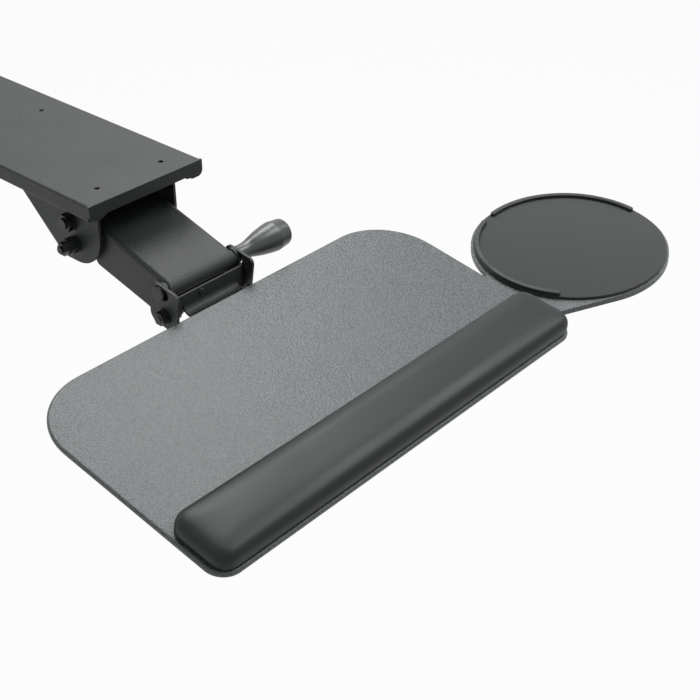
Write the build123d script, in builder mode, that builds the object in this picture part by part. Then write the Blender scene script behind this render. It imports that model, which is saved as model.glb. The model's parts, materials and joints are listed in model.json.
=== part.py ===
from build123d import *
import math
import os

# Under-desk keyboard tray: a track screwed below a desk top, a carriage that slides in it,
# a swivelling bracket, a parallelogram arm, a tilting tray with a palm rest, and a round
# mouse platform that swings and tilts beside it.
# Millimetres. +Z is up, +X is the user's right, +Y points away from the user.
# The origin lies on the swivel axis, in the face of the track that meets the desk.

os.makedirs("parts", exist_ok=True)

# Clearances and overrun
running_gap = 0.05
link_gap = 0.3
slide_gap = 0.2
joint_gap = 0.5
cut_overrun = 5

# Track
track_width = 149
track_height = 17.5
track_wall = 2
track_front = 102
track_length = 450
lip_depth = 19
track_bend = 2.4
screw_hole_radius = 2.75
screw_row_x = 42
screw_row_y = 201
screw_middle_y = 123
end_plate_wall = 3
end_plate_rise = 4
end_plate_ramp = 8.5
end_plate_foot = 14.5
end_plate_corner = 7
bumper_length = 8
bumper_width = 60
bumper_corner = 2
bumper_drop = 9.5

# Carriage
carriage_length = 180
carriage_wall = 3
carriage_drop = 8
carriage_corner = 12
glide_width = 11.5
glide_back = 2.5
glide_cover = 1.5
glide_length = 160
spindle_radius = 10
spindle_head_radius = 16
spindle_head_height = 3
spindle_lead = 1
spacer_radius = 40
spacer_height = 7.8

# Swivel bracket
sheet = 3
bracket_half_width = 52
bracket_front = 86
bracket_rear = 50
bracket_bottom = 91.3
bracket_bend = 5
cheek_front_radius = 42
cheek_rear_radius = 18
cheek_foot_rear = -21.5
spindle_washer_radius = 20
spindle_washer_wall = 2
spindle_nut_flats = 30
spindle_nut_height = 9

# Parallelogram
rear_pivot_y = -39
rear_pivot_z = -46
pivot_lean = 5
pivot_rise = 24.5
link_length = 138
arm_angle = 14
arm_half_width = 45
arm_sheet = 2
arm_bend = 5
arm_nose_radius = 10.5
arm_nose_lip = 3
arm_rear_radius = 14
arm_flange_depth = 33.5
arm_flange_start = 9
arm_flange_end = 36
arm_relief_height = 9
arm_corner = 6
shaft_radius = 6
sleeve_radius = 8.5
lower_link_half_width = 40.5
lower_link_eye = 8
lower_link_top = 6
lower_link_web_drop = 11
lower_link_web_inset = 14
lower_link_sheet = 2
bolt_radius = 4
bush_radius = 5.5

# Fasteners on the pivots
nut_flats = 13
nut_height = 6.5
lock_nut_flats = 16
lock_nut_height = 8.5
flange_washer_radius = 9
flange_washer_wall = 1.6
bolt_head_height = 5.3
bolt_tail = 3
front_bolt_tail = 1
bolt_lead = 0.5
shaft_washer_radius = 11
upper_nut_flats = 17
upper_nut_height = 6

# Level link between arm and head
level_plate = 2.5
level_gap = 1
level_lobe = 10
level_web_front = 17
level_web_top = 3
level_web_bottom = 23
level_web_bend = 6
level_shelf_width = 72
level_shelf_relief = 2
level_shelf_bend = 7
level_shelf_lip = 1
level_shelf_top = 22
rivet_radius = 3.4
rivet_height = 1.6
rivet_round = 0.8
rivet_x = -12
rivet_drop = 8

# Head bracket and clamp
tray_tilt = 9
head_half_width = 52
head_sheet = 3
ear_start = 5
ear_end = 44.5
ear_top = 24
ear_corner = 7
ear_foot_corner = 11
head_web_length = 135
head_web_tail = 5
head_web_setback = 1
head_flange_depth = 16.5
head_bend = 4
head_front_cut = 11
slot_margin = 1
pivot_behind_board = 32.5
pivot_above_board = 14.3
tilt_down = 3
tilt_up = 15
cap_radius = 8
cap_height = 2.4
cap_round = 1.2
knob_washer_radius = 9
knob_washer_wall = 2
knob_length = 69
knob_neck_length = 7
knob_neck_radius = 8.5
knob_waist = 20
knob_waist_radius = 10.4
knob_swell = 37
knob_swell_radius = 14.4
knob_belly = 52
knob_belly_radius = 16.4
knob_end_radius = 14.4
knob_round = 4
knob_thread_depth = 34

# Keyboard board
board_width = 500
board_depth = 266.7
board_wall = 6
board_back_corner = 70
board_front_corner = 21
board_round = 2.4
board_screw_x = 34
board_screw_pitch = 46
board_screw_start = 24
board_screw_rows = 3
board_screw_depth = 4.4
screw_radius = 2.1
screw_head_radius = 4.2
screw_head_height = 2.4

# Palm rest
rest_inset = 3
rest_depth = 70
rest_setback = 1.5
rest_base_wall = 2.4
rest_base_inset = 1.6
rest_height = 19
rest_crown = 2.6
rest_corner = 17
rest_round = 8.5
rest_tuck = 2.2
rest_screw_x = 190

# Mouse platform
platform_pivot_inset = 39.5
platform_pivot_depth = 101.8
platform_drop = 17
platform_side_rise = 4.17
platform_fore_rise = 0.62
platform_reach = 176
platform_offset = -3.6
platform_radius = 110.8
platform_tongue_radius = 32.4
platform_wall = 6
platform_round = 2.4
platform_blend = 5
pad_radius = 108
pad_wall = 3
pad_round = 0.8
lip_width = 6
lip_height = 4
lip_round = 1.4
lip_back_from_angle = -8.5
lip_back_to_angle = 92
lip_front_from_angle = 104
lip_front_to_angle = 207.5

# Hinge and swivel between board and platform
mount_plate_length = 54
mount_plate_width = 44
mount_plate_wall = 3
mount_plate_corner = 8
mount_screw_along = 20
mount_screw_across = 15
hinge_drop = 7.4
hinge_radius = 3.8
hinge_pin_radius = 2.5
hinge_knuckle_length = 24
hinge_ear_wall = 4
swivel_plate_radius = 25
swivel_plate_wall = 3.5
friction_washer_radius = 24
friction_washer_wall = 1
post_radius = 8
post_head_radius = 13
post_head_height = 3.5
post_depth = 2

# Heights inside the track and bracket, all below the desk face
carriage_top = -carriage_drop
carriage_bottom = carriage_top - carriage_wall
lip_top = track_wall - track_height
bracket_top = carriage_bottom - spacer_height - slide_gap
bracket_under = bracket_top - sheet
spindle_washer_top = bracket_under - slide_gap
spindle_nut_top = spindle_washer_top - spindle_washer_wall
track_rear = track_length - track_front
glide_outer = track_width / 2 - track_wall - joint_gap
carriage_half_width = glide_outer - glide_back

# Pivot points, each as (y, z)
arm_cos = math.cos(math.radians(arm_angle))
arm_sin = math.sin(math.radians(arm_angle))
rear_upper = Vector(0, rear_pivot_y, rear_pivot_z)
rear_lower = rear_upper - Vector(0, pivot_lean, pivot_rise)
front_upper = rear_upper - Vector(0, link_length * arm_cos, link_length * arm_sin)
front_lower = front_upper - Vector(0, pivot_lean, pivot_rise)
pivot_spacing = math.hypot(pivot_lean, pivot_rise)

# Side planes: local x runs back, local y runs up, the normal is +X
arm_along = Vector(0, arm_cos, arm_sin)
arm_side = Plane(origin=front_upper, x_dir=arm_along, z_dir=(1, 0, 0))
link_side = Plane(origin=front_lower, x_dir=arm_along, z_dir=(1, 0, 0))
clamp_side = Plane(origin=front_upper, x_dir=(0, 1, 0), z_dir=(1, 0, 0))

# Tray planes: the origin is the middle of the board's back edge, in its top face
tilt_cos = math.cos(math.radians(tray_tilt))
tilt_sin = math.sin(math.radians(tray_tilt))
tray_back = Vector(0, tilt_cos, tilt_sin)
tray_normal = Vector(0, -tilt_sin, tilt_cos)
tray_origin = front_upper - tray_back * pivot_behind_board - tray_normal * pivot_above_board
tray = Plane(origin=tray_origin, x_dir=(1, 0, 0), z_dir=tray_normal)
tray_side = Plane(origin=tray_origin, x_dir=tray_back, z_dir=(1, 0, 0))
board_under = tray.offset(-board_wall)

# Platform planes: the origin is the pivot of the platform, in its top face
side_slope = math.tan(math.radians(platform_side_rise))
fore_slope = math.tan(math.radians(platform_fore_rise))
platform_normal = Vector(-side_slope, -fore_slope, 1).normalized()
platform_back = platform_normal.cross(Vector(1, 0, 0)).normalized()
platform_right = platform_back.cross(platform_normal)
platform_pivot = tray.from_local_coords(
    Vector(
        board_width / 2 - platform_pivot_inset,
        platform_pivot_depth - board_depth,
        -board_wall - platform_drop,
    )
)
platform = Plane(origin=platform_pivot, x_dir=platform_right, z_dir=platform_normal)

# The platform tilts about a pin that runs along the line where its plane meets the board's
hinge_along = platform_normal.cross(tray_normal).normalized()
hinge_origin = platform_pivot + tray_normal * (platform_drop - hinge_drop)
mount_plane = Plane(
    origin=platform_pivot + tray_normal * platform_drop,
    x_dir=hinge_along,
    z_dir=tray_normal,
)
hinge_plane = Plane(origin=hinge_origin, x_dir=tray_normal, z_dir=hinge_along)
swivel_plane = Plane(origin=platform_pivot, x_dir=hinge_along, z_dir=platform_normal)

# Palm rest, in the tray plane
rest_front = rest_setback - board_depth
rest_middle = rest_front + rest_depth / 2
rest_width = board_width - 2 * rest_inset


def left_of(point, distance):
    """Plane square to X, at the given distance left of the middle, that faces left."""
    return Plane(origin=(-distance, point.Y, point.Z), x_dir=(0, 1, 0), z_dir=(-1, 0, 0))


def right_of(point, distance):
    """Plane square to X, at the given distance right of the middle, that faces right."""
    return Plane(origin=(distance, point.Y, point.Z), x_dir=(0, 1, 0), z_dir=(1, 0, 0))


# Track: one rolled channel, open below, with two lips that carry the glides
with BuildPart() as track:
    with BuildSketch(Plane.XZ.offset(track_front)):
        with Locations((0, -track_height / 2)):
            RectangleRounded(track_width, track_height, track_bend)
            RectangleRounded(
                track_width - 2 * track_wall,
                track_height - 2 * track_wall,
                track_bend - track_wall,
                mode=Mode.SUBTRACT,
            )
        with Locations((0, -track_height)):
            Rectangle(track_width - 2 * lip_depth, 3 * track_wall, mode=Mode.SUBTRACT)
    extrude(amount=-track_length)
    with BuildSketch(Plane.XY):
        with Locations((0, screw_middle_y)):
            with GridLocations(2 * screw_row_x, screw_row_y, 2, 3):
                Circle(screw_hole_radius)
    extrude(amount=-track_wall - cut_overrun, both=True, mode=Mode.SUBTRACT)
track.part.label = "track"
export_step(track.part, "parts/track.step")

# Front end plate: closes the channel, deeper at both feet than in its middle
with BuildPart() as front_end_plate:
    with BuildSketch(Plane.XZ.offset(track_front)):
        with BuildLine():
            Polyline(
                (-track_width / 2, 0),
                (track_width / 2, 0),
                (track_width / 2, -track_height),
                (track_width / 2 - end_plate_foot, -track_height),
                (track_width / 2 - end_plate_foot - end_plate_ramp, end_plate_rise - track_height),
                (-track_width / 2 + end_plate_foot + end_plate_ramp, end_plate_rise - track_height),
                (-track_width / 2 + end_plate_foot, -track_height),
                (-track_width / 2, -track_height),
                close=True,
            )
        make_face()
        feet = vertices().group_by(Axis.Y)[0].sort_by(Axis.X)
        fillet([feet[0], feet[-1]], end_plate_corner)
    extrude(amount=end_plate_wall)
front_end_plate.part.label = "front_end_plate"
export_step(front_end_plate.part, "parts/front_end_plate.step")

# Bumpers: rubber blocks under the web that stop the carriage at both ends
bumper_places = {
    "front_bumper": bumper_length / 2 - track_front,
    "rear_bumper": track_rear - bumper_length / 2,
}
for bumper_name, bumper_y in bumper_places.items():
    with BuildPart() as bumper:
        with BuildSketch(Plane.XY.offset(-track_wall)):
            with Locations((0, bumper_y)):
                RectangleRounded(bumper_width, bumper_length, bumper_corner)
        extrude(amount=-bumper_drop)
    bumper.part.label = bumper_name
    export_step(bumper.part, f"parts/{bumper_name}.step")

# Carriage plate
with BuildPart() as carriage_plate:
    with BuildSketch(Plane.XY.offset(carriage_bottom)):
        RectangleRounded(2 * carriage_half_width, carriage_length, carriage_corner)
        Circle(spindle_radius + running_gap, mode=Mode.SUBTRACT)
    extrude(amount=carriage_wall)
carriage_plate.part.label = "carriage_plate"
export_step(carriage_plate.part, "parts/carriage_plate.step")

# Glides: plastic runners with a groove that grips the plate's long edges
glide_bottom = lip_top + running_gap
glide_top = carriage_top + glide_cover
for glide_name, glide_sign in {"glide_left": -1, "glide_right": 1}.items():
    with BuildPart() as glide:
        with BuildSketch(Plane.XZ.offset(glide_length / 2)):
            with BuildLine():
                Polyline(
                    (glide_sign * (glide_outer - glide_width), glide_bottom),
                    (glide_sign * glide_outer, glide_bottom),
                    (glide_sign * glide_outer, glide_top),
                    (glide_sign * (glide_outer - glide_width), glide_top),
                    (glide_sign * (glide_outer - glide_width), carriage_top),
                    (glide_sign * carriage_half_width, carriage_top),
                    (glide_sign * carriage_half_width, carriage_bottom),
                    (glide_sign * (glide_outer - glide_width), carriage_bottom),
                    close=True,
                )
            make_face()
        extrude(amount=-glide_length)
    glide.part.label = glide_name
    export_step(glide.part, f"parts/{glide_name}.step")

# Swivel spacer: fills the track's slot between carriage and bracket
with BuildPart() as swivel_spacer:
    with BuildSketch(Plane.XY.offset(carriage_bottom)):
        Circle(spacer_radius)
        Circle(spindle_radius + running_gap, mode=Mode.SUBTRACT)
    extrude(amount=-spacer_height)
    chamfer(swivel_spacer.edges().group_by(Axis.Z)[0].sort_by(SortBy.LENGTH)[-1], joint_gap)
swivel_spacer.part.label = "swivel_spacer"
export_step(swivel_spacer.part, "parts/swivel_spacer.step")

# Spindle: flanged pin that the bracket turns on
spindle_end = spindle_nut_top - spindle_nut_height - bolt_tail
with BuildPart() as spindle:
    with BuildSketch(Plane.XY.offset(spindle_end)):
        Circle(spindle_radius)
    extrude(amount=carriage_top - spindle_end)
    with BuildSketch(Plane.XY.offset(carriage_top)):
        Circle(spindle_head_radius)
    extrude(amount=spindle_head_height)
    chamfer(spindle.edges().group_by(Axis.Z)[0], spindle_lead)
spindle.part.label = "spindle"
export_step(spindle.part, "parts/spindle.step")

with BuildPart() as spindle_washer:
    with BuildSketch(Plane.XY.offset(spindle_washer_top)):
        Circle(spindle_washer_radius)
        Circle(spindle_radius + running_gap, mode=Mode.SUBTRACT)
    extrude(amount=-spindle_washer_wall)
spindle_washer.part.label = "spindle_washer"
export_step(spindle_washer.part, "parts/spindle_washer.step")

with BuildPart() as spindle_nut:
    with BuildSketch(Plane.XY.offset(spindle_nut_top)):
        RegularPolygon(spindle_nut_flats / 2, 6, major_radius=False)
        Circle(spindle_radius + running_gap, mode=Mode.SUBTRACT)
    extrude(amount=-spindle_nut_height)
spindle_nut.part.label = "spindle_nut"
export_step(spindle_nut.part, "parts/spindle_nut.step")

# Swivel bracket: a bent channel whose two cheeks carry the rear pivots
with BuildPart() as swivel_bracket:
    with BuildSketch(Plane.XZ.offset(bracket_front)):
        with Locations((0, bracket_top)):
            Rectangle(
                2 * bracket_half_width,
                bracket_bottom + bracket_top,
                align=(Align.CENTER, Align.MAX),
            )
        fillet(vertices().group_by(Axis.Y)[-1], bracket_bend)
    extrude(amount=-bracket_front - bracket_rear)
    with BuildSketch(Plane.XZ.offset(bracket_front)):
        with Locations((0, bracket_under)):
            Rectangle(
                2 * (bracket_half_width - sheet),
                bracket_bottom + bracket_top,
                align=(Align.CENTER, Align.MAX),
            )
        fillet(vertices().group_by(Axis.Y)[-1], bracket_bend - sheet)
    extrude(amount=-bracket_front - bracket_rear, mode=Mode.SUBTRACT)
    with BuildSketch(Plane.YZ):
        with BuildLine():
            Polyline(
                (-bracket_front, bracket_top),
                (bracket_rear, bracket_top),
                (bracket_rear, bracket_under - sheet),
                (cheek_foot_rear, -bracket_bottom),
                (-bracket_front, -bracket_bottom),
                close=True,
            )
        make_face()
        cheek_foot = vertices().group_by(Axis.Y)[0].sort_by(Axis.X)
        fillet(cheek_foot[0], cheek_front_radius)
        fillet(vertices().group_by(Axis.Y)[0].sort_by(Axis.X)[-1], cheek_rear_radius)
    extrude(amount=bracket_half_width, both=True, mode=Mode.INTERSECT)
    with BuildSketch(Plane.XY.offset(bracket_top)):
        Circle(spindle_radius + running_gap)
    extrude(amount=-sheet, mode=Mode.SUBTRACT)
    with BuildSketch(Plane.YZ):
        with Locations((rear_upper.Y, rear_upper.Z)):
            Circle(shaft_radius + running_gap)
        with Locations((rear_lower.Y, rear_lower.Z)):
            Circle(bolt_radius + running_gap)
    extrude(amount=bracket_half_width, both=True, mode=Mode.SUBTRACT)
swivel_bracket.part.label = "swivel_bracket"
export_step(swivel_bracket.part, "parts/swivel_bracket.step")

# Rear shaft: the arm turns on it, and a washer and nut hold each end
shaft_reach = bracket_half_width + flange_washer_wall + upper_nut_height + bolt_tail
with BuildPart() as rear_shaft:
    with BuildSketch(left_of(rear_upper, shaft_reach)):
        Circle(shaft_radius)
    extrude(amount=-2 * shaft_reach)
rear_shaft.part.label = "rear_shaft"
export_step(rear_shaft.part, "parts/rear_shaft.step")

with BuildPart() as rear_shaft_washers:
    for side in (left_of, right_of):
        with BuildSketch(side(rear_upper, bracket_half_width)):
            Circle(shaft_washer_radius)
            Circle(shaft_radius + running_gap, mode=Mode.SUBTRACT)
        extrude(amount=flange_washer_wall)
rear_shaft_washers.part.label = "rear_shaft_washers"
export_step(rear_shaft_washers.part, "parts/rear_shaft_washers.step")

with BuildPart() as rear_shaft_nuts:
    for side in (left_of, right_of):
        with BuildSketch(side(rear_upper, bracket_half_width + flange_washer_wall)):
            RegularPolygon(upper_nut_flats / 2, 6, major_radius=False)
            Circle(shaft_radius + running_gap, mode=Mode.SUBTRACT)
        extrude(amount=upper_nut_height)
rear_shaft_nuts.part.label = "rear_shaft_nuts"
export_step(rear_shaft_nuts.part, "parts/rear_shaft_nuts.step")

# Long bolts of the lower pivots: heads on the right, nuts on the left.
# The rear one ends in a lock nut, a second washer and a plain nut.
washer_face = bracket_half_width + flange_washer_wall
lock_nut_face = washer_face + lock_nut_height
end_washer_face = lock_nut_face + flange_washer_wall
long_bolts = {
    "rear_bolt": (rear_lower, (bracket_half_width, lock_nut_face), end_washer_face, bolt_tail),
    "front_bolt": (front_lower, (bracket_half_width,), washer_face, front_bolt_tail),
}
for bolt_name, (bolt_centre, washer_places, nut_place, tail) in long_bolts.items():
    bolt_end = nut_place + nut_height + tail
    with BuildPart() as long_bolt:
        with BuildSketch(left_of(bolt_centre, bolt_end)):
            Circle(bolt_radius)
        extrude(amount=-bolt_end - washer_face)
        with BuildSketch(right_of(bolt_centre, washer_face)):
            RegularPolygon(nut_flats / 2, 6, major_radius=False)
        extrude(amount=bolt_head_height)
        chamfer(long_bolt.edges().group_by(Axis.X)[0], bolt_lead)
    long_bolt.part.label = bolt_name
    export_step(long_bolt.part, f"parts/{bolt_name}.step")

    with BuildPart() as bolt_washers:
        with BuildSketch(right_of(bolt_centre, bracket_half_width)):
            Circle(flange_washer_radius)
            Circle(bolt_radius + running_gap, mode=Mode.SUBTRACT)
        extrude(amount=flange_washer_wall)
        for washer_place in washer_places:
            with BuildSketch(left_of(bolt_centre, washer_place)):
                Circle(flange_washer_radius)
                Circle(bolt_radius + running_gap, mode=Mode.SUBTRACT)
            extrude(amount=flange_washer_wall)
    bolt_washers.part.label = bolt_name + "_washers"
    export_step(bolt_washers.part, f"parts/{bolt_name}_washers.step")

    with BuildPart() as bolt_nuts:
        if bolt_name == "rear_bolt":
            with BuildSketch(left_of(bolt_centre, washer_face)):
                RegularPolygon(lock_nut_flats / 2, 6, major_radius=False)
                Circle(bolt_radius + running_gap, mode=Mode.SUBTRACT)
            extrude(amount=lock_nut_height)
        with BuildSketch(left_of(bolt_centre, nut_place)):
            RegularPolygon(nut_flats / 2, 6, major_radius=False)
            Circle(bolt_radius + running_gap, mode=Mode.SUBTRACT)
        extrude(amount=nut_height)
    bolt_nuts.part.label = bolt_name + "_nuts"
    export_step(bolt_nuts.part, f"parts/{bolt_name}_nuts.step")

# Arm cover: a folded channel, open below, whose top rolls over the front pivot.
# Its top is the tangent line of the front and rear circles.
taper = math.asin((arm_rear_radius - arm_nose_radius) / link_length)


def tangent_point(centre_x, radius):
    """Point where the top line touches a pivot circle in the arm's side plane."""
    return (centre_x - radius * math.sin(taper), radius * math.cos(taper))


arm_flange_rear = link_length - arm_flange_end
arm_reach = arm_nose_radius + link_length + arm_rear_radius
arm_top_turn = math.radians(arm_angle) + taper
arm_top_along = Vector(0, math.cos(arm_top_turn), math.sin(arm_top_turn))
arm_end_plane = Plane(
    origin=front_upper - arm_top_along * arm_nose_radius,
    x_dir=(1, 0, 0),
    z_dir=-arm_top_along,
)

# Space inside the folded sheet, which narrows by the bend along its two upper edges
with BuildPart() as arm_hollow:
    with BuildSketch(arm_side):
        with BuildLine():
            Polyline(
                tangent_point(0, arm_nose_radius - arm_sheet),
                tangent_point(link_length, arm_rear_radius - arm_sheet),
                (link_length + arm_rear_radius, arm_rear_radius - arm_sheet),
                (link_length + arm_rear_radius, -arm_flange_depth),
                (-arm_nose_radius, -arm_flange_depth),
                (-arm_nose_radius, -arm_nose_lip),
                (0, -arm_nose_lip),
                close=True,
            )
        make_face()
        Circle(arm_nose_radius - arm_sheet)
    extrude(amount=arm_half_width - arm_sheet, both=True)
    with BuildSketch(arm_end_plane):
        with Locations((0, arm_nose_radius - arm_sheet)):
            Rectangle(
                2 * (arm_half_width - arm_sheet),
                arm_reach,
                align=(Align.CENTER, Align.MAX),
            )
        fillet(vertices().group_by(Axis.Y)[-1], arm_bend - arm_sheet)
    extrude(amount=-arm_reach, mode=Mode.INTERSECT)

with BuildPart() as arm_cover:
    with BuildSketch(arm_side):
        with BuildLine():
            Polyline(
                tangent_point(0, arm_nose_radius),
                tangent_point(link_length, arm_rear_radius),
                (link_length, 0),
                (0, 0),
                close=True,
            )
        make_face()
        Circle(arm_nose_radius)
        with Locations((link_length, 0)):
            Circle(arm_rear_radius)
        with BuildLine():
            Polyline(
                (arm_flange_start, 0),
                (arm_flange_start, -arm_flange_depth),
                (arm_flange_rear, -arm_flange_depth),
                (arm_flange_rear, -arm_relief_height),
                (link_length, -arm_relief_height),
                (link_length, 0),
                close=True,
            )
        make_face()
        fillet(vertices().group_by(Axis.Y)[0], arm_corner)
    extrude(amount=arm_half_width, both=True)
    with BuildSketch(arm_end_plane):
        with Locations((0, arm_nose_radius)):
            Rectangle(2 * arm_half_width, arm_reach, align=(Align.CENTER, Align.MAX))
        fillet(vertices().group_by(Axis.Y)[-1], arm_bend)
    extrude(amount=-arm_reach, mode=Mode.INTERSECT)
    add(arm_hollow.part, mode=Mode.SUBTRACT)
    with BuildSketch(arm_side):
        with Locations((0, 0), (link_length, 0)):
            Circle(sleeve_radius)
    extrude(amount=arm_half_width, both=True, mode=Mode.SUBTRACT)
arm_cover.part.label = "arm_cover"
export_step(arm_cover.part, "parts/arm_cover.step")

# Sleeves: tubes across the arm that its two shafts run in
sleeves = {
    "arm_rear_sleeve": (rear_upper, bracket_half_width - sheet - slide_gap),
    "arm_front_sleeve": (front_upper, arm_half_width + level_gap - slide_gap),
}
for sleeve_name, (sleeve_centre, sleeve_reach) in sleeves.items():
    with BuildPart() as sleeve:
        with BuildSketch(left_of(sleeve_centre, sleeve_reach)):
            Circle(sleeve_radius - running_gap)
            Circle(shaft_radius + running_gap, mode=Mode.SUBTRACT)
        extrude(amount=-2 * sleeve_reach)
    sleeve.part.label = sleeve_name
    export_step(sleeve.part, f"parts/{sleeve_name}.step")

# Lower link: a shallow channel inside the arm, with an eye at each end
link_web_start = lower_link_web_inset
link_web_end = link_length - lower_link_web_inset
with BuildPart() as lower_link:
    with BuildSketch(link_side):
        with Locations((0, 0), (link_length, 0)):
            Circle(lower_link_eye)
        with BuildLine():
            Polyline(
                (0, lower_link_top),
                (link_length, lower_link_top),
                (link_length, 0),
                (link_web_end, -lower_link_web_drop),
                (link_web_start, -lower_link_web_drop),
                (0, 0),
                close=True,
            )
        make_face()
    extrude(amount=lower_link_half_width, both=True)
    with BuildSketch(link_side):
        with BuildLine():
            Polyline(
                (-lower_link_eye, lower_link_eye),
                (link_length + lower_link_eye, lower_link_eye),
                (link_length + lower_link_eye, -lower_link_web_drop),
                (link_web_end, -lower_link_web_drop),
                (link_web_end, lower_link_sheet - lower_link_web_drop),
                (link_web_start, lower_link_sheet - lower_link_web_drop),
                (link_web_start, -lower_link_web_drop),
                (-lower_link_eye, -lower_link_web_drop),
                close=True,
            )
        make_face()
    extrude(amount=lower_link_half_width - lower_link_sheet, both=True, mode=Mode.SUBTRACT)
    with BuildSketch(link_side):
        with Locations((0, 0), (link_length, 0)):
            Circle(bush_radius)
    extrude(amount=lower_link_half_width, both=True, mode=Mode.SUBTRACT)
lower_link.part.label = "lower_link"
export_step(lower_link.part, "parts/lower_link.step")

# Bushes: tubes in the eyes of the lower link, which keep it centred between the plates
bushes = {
    "link_rear_bush": (rear_lower, bracket_half_width - sheet - slide_gap),
    "link_front_bush": (front_lower, arm_half_width + level_gap - slide_gap),
}
for bush_name, (bush_centre, bush_reach) in bushes.items():
    with BuildPart() as bush:
        with BuildSketch(left_of(bush_centre, bush_reach)):
            Circle(bush_radius - running_gap)
            Circle(bolt_radius + link_gap, mode=Mode.SUBTRACT)
        extrude(amount=-2 * bush_reach)
    bush.part.label = bush_name
    export_step(bush.part, f"parts/{bush_name}.step")

# Level link: a bent plate that keeps the two front pivots one above the other.
# The foot of its web curves forward into a shelf behind the board.
level_inner = arm_half_width + level_gap
level_outer = level_inner + level_plate
level_top = front_upper.Z + level_lobe
level_foot = front_lower.Z - level_lobe
with BuildPart() as level_link:
    with BuildSketch(Plane.XY.offset(level_foot)):
        with Locations((0, front_upper.Y - level_web_front)):
            Rectangle(
                2 * level_outer,
                level_web_front + level_lobe,
                align=(Align.CENTER, Align.MIN),
            )
        fillet(vertices().group_by(Axis.Y)[0], level_web_bend)
    extrude(amount=level_top - level_foot)
    with BuildSketch(Plane.XY.offset(level_foot)):
        with Locations((0, front_upper.Y - level_web_front + level_plate)):
            Rectangle(
                2 * level_inner,
                level_web_front + level_lobe,
                align=(Align.CENTER, Align.MIN),
            )
        fillet(vertices().group_by(Axis.Y)[0], level_web_bend - level_plate)
    extrude(amount=level_top - level_foot, mode=Mode.SUBTRACT)
    with BuildSketch(clamp_side):
        with Locations((-pivot_lean / 2, -pivot_rise / 2)):
            SlotCenterToCenter(
                pivot_spacing,
                2 * level_lobe,
                rotation=math.degrees(math.atan2(pivot_rise, pivot_lean)),
            )
        with Locations((-level_web_front, -level_web_top)):
            Rectangle(
                level_web_front,
                level_web_bottom - level_web_top,
                align=(Align.MIN, Align.MAX),
            )
    extrude(amount=level_outer, both=True, mode=Mode.INTERSECT)
    with BuildSketch(clamp_side):
        with Locations((-level_web_front, level_shelf_bend - level_shelf_top)):
            Rectangle(level_web_bend, level_web_bottom, align=(Align.MIN, Align.MAX))
    extrude(amount=level_shelf_width / 2 + level_shelf_relief, both=True, mode=Mode.SUBTRACT)
    with BuildSketch(clamp_side):
        with BuildLine():
            shelf_end = -level_web_front - level_shelf_bend
            shelf_edge = Line(
                (shelf_end, -level_shelf_top - level_plate),
                (shelf_end - level_shelf_lip, -level_shelf_top - level_plate),
            )
            shelf_tip = Line(shelf_edge @ 1, (shelf_end - level_shelf_lip, -level_shelf_top))
            shelf_face = Line(shelf_tip @ 1, (shelf_end, -level_shelf_top))
            inner_bend = TangentArc(
                shelf_face @ 1,
                (-level_web_front, level_shelf_bend - level_shelf_top),
                tangent=(1, 0),
            )
            Line(inner_bend @ 1, (level_plate - level_web_front, level_shelf_bend - level_shelf_top))
            TangentArc(
                shelf_edge @ 0,
                (level_plate - level_web_front, level_shelf_bend - level_shelf_top),
                tangent=(1, 0),
            )
        make_face()
    extrude(amount=level_shelf_width / 2, both=True)
    with BuildSketch(clamp_side):
        Circle(shaft_radius + running_gap)
        with Locations((-pivot_lean, -pivot_rise)):
            Circle(bolt_radius + running_gap)
    extrude(amount=level_outer, both=True, mode=Mode.SUBTRACT)
level_link.part.label = "level_link"
export_step(level_link.part, "parts/level_link.step")

# Rivet: round head in the middle of the level link's web
rivet_centre = front_upper - Vector(0, level_web_front, rivet_drop)
with BuildPart() as level_rivet:
    with BuildSketch(Plane(origin=(rivet_x, rivet_centre.Y, rivet_centre.Z), z_dir=(0, -1, 0))):
        Circle(rivet_radius)
    extrude(amount=rivet_height)
    fillet(level_rivet.edges().group_by(Axis.Y)[0], rivet_round)
level_rivet.part.label = "level_rivet"
export_step(level_rivet.part, "parts/level_rivet.step")

# Head bracket: a channel under the board whose sides rise behind it as two ears.
# The tray tilts about the lower bolt, and the clamp bolt runs in an arc slot round it.
ear_bottom = board_wall + head_flange_depth
web_rear = ear_start + head_web_tail
web_front = web_rear - head_web_length
head_end_plane = Plane(
    origin=tray_origin + tray_back * web_front,
    x_dir=(1, 0, 0),
    z_dir=-tray_back,
)
slot_radius = shaft_radius + link_gap
slot_rest_angle = math.degrees(math.atan2(pivot_rise, pivot_lean)) - tray_tilt
slot_start = slot_rest_angle - tilt_down - slot_margin
slot_sweep = tilt_up + tilt_down + 2 * slot_margin
tilt_pivot = tray_side.to_local_coords(front_lower)

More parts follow.
